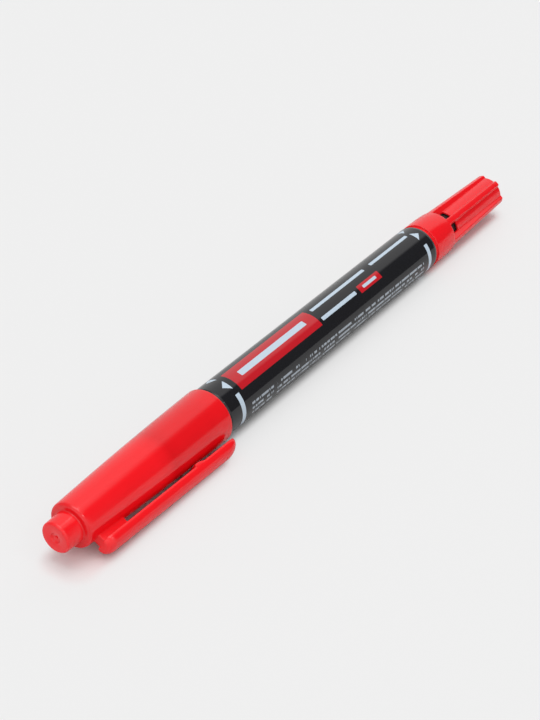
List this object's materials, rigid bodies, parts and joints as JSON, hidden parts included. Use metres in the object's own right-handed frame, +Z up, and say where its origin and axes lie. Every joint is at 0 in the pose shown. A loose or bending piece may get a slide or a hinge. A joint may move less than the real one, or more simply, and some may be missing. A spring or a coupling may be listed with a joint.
{
  "type": "permanent marker",
  "caption": "Double-ended permanent marker with a ribbed cap over its fine tip and a clipped cap over its broad tip.",
  "frame": {"origin": "centre of the bounding box's underside, where the marker lies on a table", "axes": "+X along the marker from the clipped broad end to the ribbed fine end, +Z up, the clip on the -Y side"},
  "size_m": [0.1402, 0.0128, 0.0106],
  "materials": {
    "red_plastic": "gloss",
    "black_plastic": "semi gloss",
    "printed_film": "gloss",
    "clear_plastic": "natural",
    "white_plastic": "satin",
    "inked_fibre": "fibrous"
  },
  "bodies": {
    "barrel": {"barrel_tube": "black_plastic", "label_sleeve": "printed_film", "ink_reservoir": "inked_fibre", "reservoir_film": "clear_plastic", "broad_nose": "black_plastic", "bullet_nib": "inked_fibre", "fine_nose": "black_plastic", "fine_nib_sleeve": "white_plastic", "fine_nib": "inked_fibre"},
    "large_cap": {"large_cap": "red_plastic", "large_cap_liner": "clear_plastic"},
    "clip": {"clip_arm": "red_plastic"},
    "fine_cap": {"fine_cap": "red_plastic"}
  },
  "joints": [
    {"name": "large_cap_pull", "type": "slide", "parent": "barrel", "child": "large_cap", "axis": [-1, 0, 0], "range_m": [0, 0.042]},
    {"name": "clip_flex", "type": "hinge", "parent": "large_cap", "child": "clip", "pos_m": [-0.05822, -0.00565, 0.00154], "axis": [0, 0.4848, -0.8746], "range_deg": [0, 5], "stiffness_Nm_per_rad": 2},
    {"name": "fine_cap_pull", "type": "slide", "parent": "barrel", "child": "fine_cap", "axis": [1, 0, 0], "range_m": [0, 0.032]}
  ]
}
